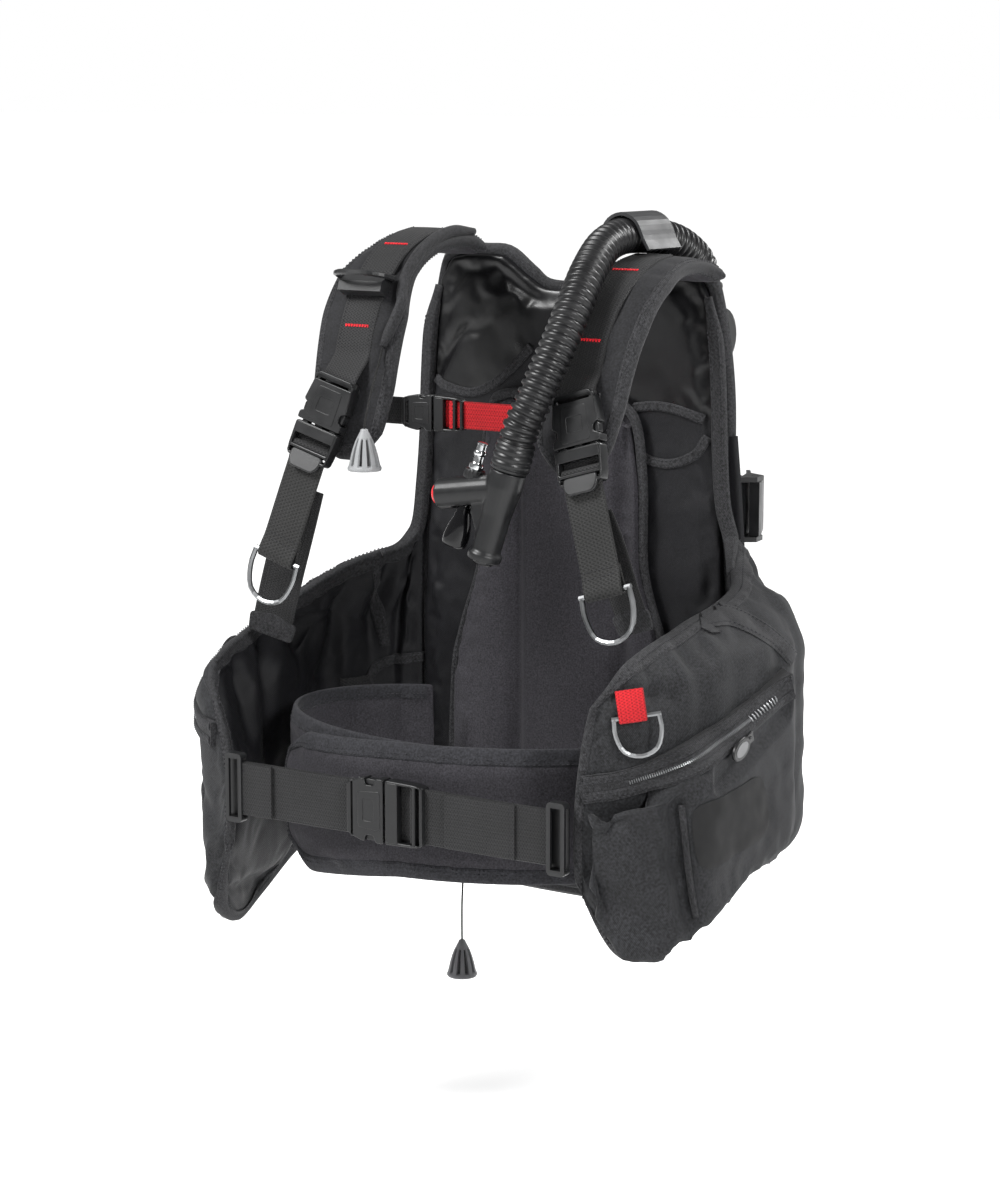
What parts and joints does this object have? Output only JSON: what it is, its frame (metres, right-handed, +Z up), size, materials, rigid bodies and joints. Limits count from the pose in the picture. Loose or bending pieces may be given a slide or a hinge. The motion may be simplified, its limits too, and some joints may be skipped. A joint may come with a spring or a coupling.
{
  "type": "buoyancy compensator vest",
  "caption": "Jacket-style scuba buoyancy vest with side lobes, cargo pockets, shoulder and waist release buckles, corrugated inflator hose and cylinder band.",
  "frame": {"origin": "midway between the undersides of the two shoulder pads, where the wearer's shoulders or a hanger carry the vest (mount shoulder_rest)", "axes": "+Z up, -Y towards where the wearer faces, +Y towards the cylinder, +X to the wearer's left"},
  "size_m": [0.594, 0.5583, 0.7804],
  "materials": {
    "fabric": "matte coated nylon",
    "padding": "matte padded knit",
    "webbing": "woven webbing",
    "red_webbing": "woven webbing",
    "plastic": "moulded, fine grain",
    "rubber": "matte",
    "gloss": "glossy",
    "red_plastic": "glossy",
    "chrome": "polished",
    "steel": "polished stainless",
    "grey_rubber": "matte"
  },
  "bodies": {
    "vest": {"bladder_back": "fabric", "bladder_lobe_left": "fabric", "bladder_lobe_right": "fabric", "pocket_left": "fabric", "pocket_right": "fabric", "back_pad": "padding", "cummerbund_left": "padding", "cummerbund_right": "padding", "shoulder_pad_left": "padding", "shoulder_pad_right": "padding", "shoulder_web_left": "webbing", "shoulder_web_right": "webbing", "shoulder_buckle_female_left": "plastic", "shoulder_strap_lower_left": "webbing", "shoulder_buckle_female_right": "plastic", "shoulder_strap_lower_right": "webbing", "shoulder_slide_right": "plastic", "chest_buckle_female": "plastic", "chest_strap_right": "webbing", "waist_buckle_female": "plastic", "waist_strap_right": "webbing", "waist_ring_left": "plastic", "waist_ring_right": "plastic", "inflator_hose": "rubber", "hose_elbow": "plastic", "hose_flap": "rubber", "hose_collar": "plastic", "inflator_body": "plastic", "lp_nipple": "chrome", "mouthpiece": "gloss", "shoulder_dump_valve": "plastic", "rear_dump_valve": "plastic", "backpack_plate": "plastic", "carry_handle": "webbing", "tank_band": "webbing", "cam_buckle_body": "plastic"},
    "shoulder_release_left": {"shoulder_buckle_male_left": "plastic", "strap_tail_left": "webbing"},
    "tail_ring_left": {"tail_ring_left": "steel"},
    "shoulder_release_right": {"shoulder_buckle_male_right": "plastic", "strap_tail_right": "webbing"},
    "tail_ring_right": {"tail_ring_right": "steel"},
    "shoulder_ring_right": {"shoulder_ring_right": "plastic"},
    "chest_release": {"chest_buckle_male": "plastic", "chest_strap_left": "red_webbing"},
    "waist_release": {"waist_buckle_male": "plastic", "waist_strap_left": "webbing"},
    "inflate_button": {"inflate_button": "red_plastic"},
    "deflate_button": {"deflate_button": "gloss"},
    "shoulder_pull": {"shoulder_pull_cord": "webbing", "shoulder_pull_knob": "grey_rubber"},
    "rear_pull": {"rear_pull_cord": "webbing", "rear_pull_knob": "grey_rubber"},
    "cam_lever": {"cam_lever": "plastic"},
    "zip_slider_left": {"zip_slider_left": "plastic"},
    "zip_slider_right": {"zip_slider_right": "plastic"},
    "pocket_ring_left": {"pocket_ring_left": "steel"},
    "pocket_ring_right": {"pocket_ring_right": "steel"}
  },
  "joints": [
    {"name": "shoulder_release_left", "type": "slide", "parent": "vest", "child": "shoulder_release_left", "axis": [0.2693, -0.2593, -0.9275], "range_m": [0, 0.02]},
    {"name": "tail_ring_left", "type": "hinge", "parent": "shoulder_release_left", "child": "tail_ring_left", "pos_m": [0.17629, -0.18241, -0.25961], "axis": [0.9536, 0, 0.3011], "range_deg": [-60, 20]},
    {"name": "shoulder_release_right", "type": "slide", "parent": "vest", "child": "shoulder_release_right", "axis": [-0.2693, -0.2593, -0.9275], "range_m": [0, 0.02]},
    {"name": "tail_ring_right", "type": "hinge", "parent": "shoulder_release_right", "child": "tail_ring_right", "pos_m": [-0.17629, -0.18241, -0.25961], "axis": [0.9536, 0, -0.3011], "range_deg": [-60, 20]},
    {"name": "shoulder_ring_right", "type": "hinge", "parent": "vest", "child": "shoulder_ring_right", "pos_m": [-0.123, -0.10841, -0.00529], "axis": [1, 0, 0], "range_deg": [-70, 20]},
    {"name": "chest_release", "type": "slide", "parent": "vest", "child": "chest_release", "axis": [1, 0, 0], "range_m": [0, 0.02]},
    {"name": "waist_release", "type": "slide", "parent": "vest", "child": "waist_release", "axis": [1, 0, 0], "range_m": [0, 0.026]},
    {"name": "inflate_press", "type": "slide", "parent": "vest", "child": "inflate_button", "axis": [0.9902, 0.0139, 0.1388], "range_m": [0, 0.003], "stiffness_N_per_m": 400},
    {"name": "deflate_press", "type": "slide", "parent": "vest", "child": "deflate_button", "axis": [0.2571, 0.0965, 0.9616], "range_m": [0, 0.003], "stiffness_N_per_m": 400},
    {"name": "shoulder_pull", "type": "slide", "parent": "vest", "child": "shoulder_pull", "axis": [0.095, -0.498, -0.862], "range_m": [0, 0.012], "stiffness_N_per_m": 500},
    {"name": "rear_pull", "type": "slide", "parent": "vest", "child": "rear_pull", "axis": [0, 0, -1], "range_m": [0, 0.012], "stiffness_N_per_m": 500},
    {"name": "cam_lever", "type": "hinge", "parent": "vest", "child": "cam_lever", "pos_m": [0.10906, 0.21318, -0.24], "axis": [0, 0, 1], "range_deg": [-125, 0]},
    {"name": "zip_left", "type": "slide", "parent": "vest", "child": "zip_slider_left", "axis": [0, 0.9447, 0.3279], "range_m": [-0.012, 0.06]},
    {"name": "zip_right", "type": "slide", "parent": "vest", "child": "zip_slider_right", "axis": [0, 0.9447, 0.3279], "range_m": [-0.012, 0.022]},
    {"name": "pocket_ring_left", "type": "hinge", "parent": "vest", "child": "pocket_ring_left", "pos_m": [0.242, -0.24, -0.35], "axis": [0.8328, 0.5347, 0.1433], "range_deg": [-60, 0]},
    {"name": "pocket_ring_right", "type": "hinge", "parent": "vest", "child": "pocket_ring_right", "pos_m": [-0.2952, -0.084, -0.394], "axis": [0, -1, 0], "range_deg": [-60, 0]}
  ]
}
